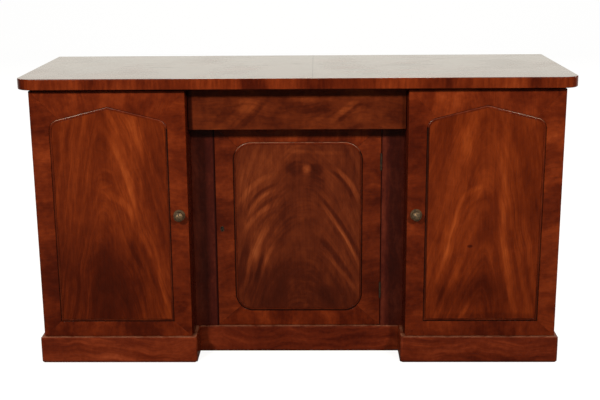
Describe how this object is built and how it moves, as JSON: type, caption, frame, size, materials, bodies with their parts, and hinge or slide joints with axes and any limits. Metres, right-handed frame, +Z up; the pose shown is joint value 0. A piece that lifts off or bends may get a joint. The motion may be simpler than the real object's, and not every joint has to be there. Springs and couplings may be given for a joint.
{
  "type": "breakfront pedestal sideboard",
  "caption": "Low mahogany sideboard: two arch-panelled pedestal cupboards flank a recessed drawer and lockable cupboard on a stepped plinth.",
  "frame": {"origin": "on the floor, at the middle of the whole object's width and depth", "axes": "+X to the viewer's right along the front, +Y from the front to the back, +Z up"},
  "size_m": [1.688, 0.588, 0.91],
  "materials": {
    "top_veneer": "french-polished, glossy",
    "flame_veneer": "french-polished flame figure, semi-gloss",
    "crossbanding": "french-polished cross-grained veneer, semi-gloss",
    "drawer_veneer": "french-polished, semi-gloss",
    "bead_mahogany": "polished, darkened in the quirks",
    "recess_mahogany": "french-polished, semi-gloss",
    "side_mahogany": "french-polished, semi-gloss",
    "plinth_mahogany": "french-polished, worn along the edges",
    "inner_mahogany": "waxed, matt",
    "pine": "unfinished, darkened with age",
    "drawer_lining": "unfinished oak, matt",
    "dark_brass": "old patina, satin",
    "aged_brass": "aged, satin",
    "steel": "dull, oiled"
  },
  "bodies": {
    "carcase": {"top": "top_veneer", "left_outer_side": "side_mahogany", "right_outer_side": "side_mahogany", "left_inner_side": "side_mahogany", "right_inner_side": "side_mahogany", "pedestal_floors": "inner_mahogany", "centre_floor": "inner_mahogany", "pedestal_backs": "pine", "centre_back": "pine", "pedestal_shelves": "inner_mahogany", "centre_shelf": "inner_mahogany", "shelf_bearers": "pine", "top_rails": "pine", "top_screws": "steel", "centre_stiles": "recess_mahogany", "drawer_rail": "recess_mahogany", "drawer_guides": "pine", "plinth_pedestal_fronts": "plinth_mahogany", "plinth_returns": "plinth_mahogany", "plinth_centre_front": "plinth_mahogany", "plinth_ends": "plinth_mahogany", "plinth_back": "pine", "plinth_bearers": "pine", "plinth_blocks": "pine", "pedestal_frame_leaves": "aged_brass", "centre_frame_leaves": "aged_brass", "hinge_pins": "aged_brass", "frame_hinge_screws": "aged_brass"},
    "left_door": {"left_door_stiles": "crossbanding", "left_door_rails": "crossbanding", "left_door_panel": "flame_veneer", "left_door_bead": "bead_mahogany", "left_door_leaves": "aged_brass", "left_door_screws": "aged_brass", "left_knob_rose": "dark_brass"},
    "left_catch": {"left_knob": "dark_brass", "left_catch_tongue": "aged_brass"},
    "right_door": {"right_door_stiles": "crossbanding", "right_door_rails": "crossbanding", "right_door_panel": "flame_veneer", "right_door_bead": "bead_mahogany", "right_door_leaves": "aged_brass", "right_door_screws": "aged_brass", "right_knob_rose": "dark_brass"},
    "right_catch": {"right_knob": "dark_brass", "right_catch_tongue": "aged_brass"},
    "centre_door": {"centre_door_stiles": "crossbanding", "centre_door_rails": "crossbanding", "centre_door_panel": "flame_veneer", "centre_door_bead": "bead_mahogany", "centre_door_leaves": "aged_brass", "centre_door_screws": "aged_brass", "keyhole_plate": "dark_brass", "lock_case": "steel"},
    "bolt": {"lock_bolt": "aged_brass"},
    "drawer": {"drawer_front": "drawer_veneer", "drawer_sides": "drawer_lining", "drawer_back": "drawer_lining", "drawer_bottom": "drawer_lining"}
  },
  "joints": [
    {"name": "left_door_hinge", "type": "hinge", "parent": "carcase", "child": "left_door", "pos_m": [-0.809, -0.2415, 0.48], "axis": [0, 0, -1], "range_deg": [0, 175]},
    {"name": "right_door_hinge", "type": "hinge", "parent": "carcase", "child": "right_door", "pos_m": [0.809, -0.2415, 0.48], "axis": [0, 0, 1], "range_deg": [0, 175]},
    {"name": "centre_door_hinge", "type": "hinge", "parent": "carcase", "child": "centre_door", "pos_m": [0.26225, -0.167, 0.4155], "axis": [0, 0, 1], "range_deg": [0, 115]},
    {"name": "left_catch_turn", "type": "hinge", "parent": "left_door", "child": "left_catch", "pos_m": [-0.3655, -0.264, 0.483], "axis": [0, -1, 0], "range_deg": [0, 90]},
    {"name": "right_catch_turn", "type": "hinge", "parent": "right_door", "child": "right_catch", "pos_m": [0.3655, -0.264, 0.483], "axis": [0, 1, 0], "range_deg": [0, 90]},
    {"name": "bolt_slide", "type": "slide", "parent": "centre_door", "child": "bolt", "axis": [-1, 0, 0], "range_m": [0, 0.008]},
    {"name": "drawer_slide", "type": "slide", "parent": "carcase", "child": "drawer", "axis": [0, -1, 0], "range_m": [0, 0.3]}
  ]
}
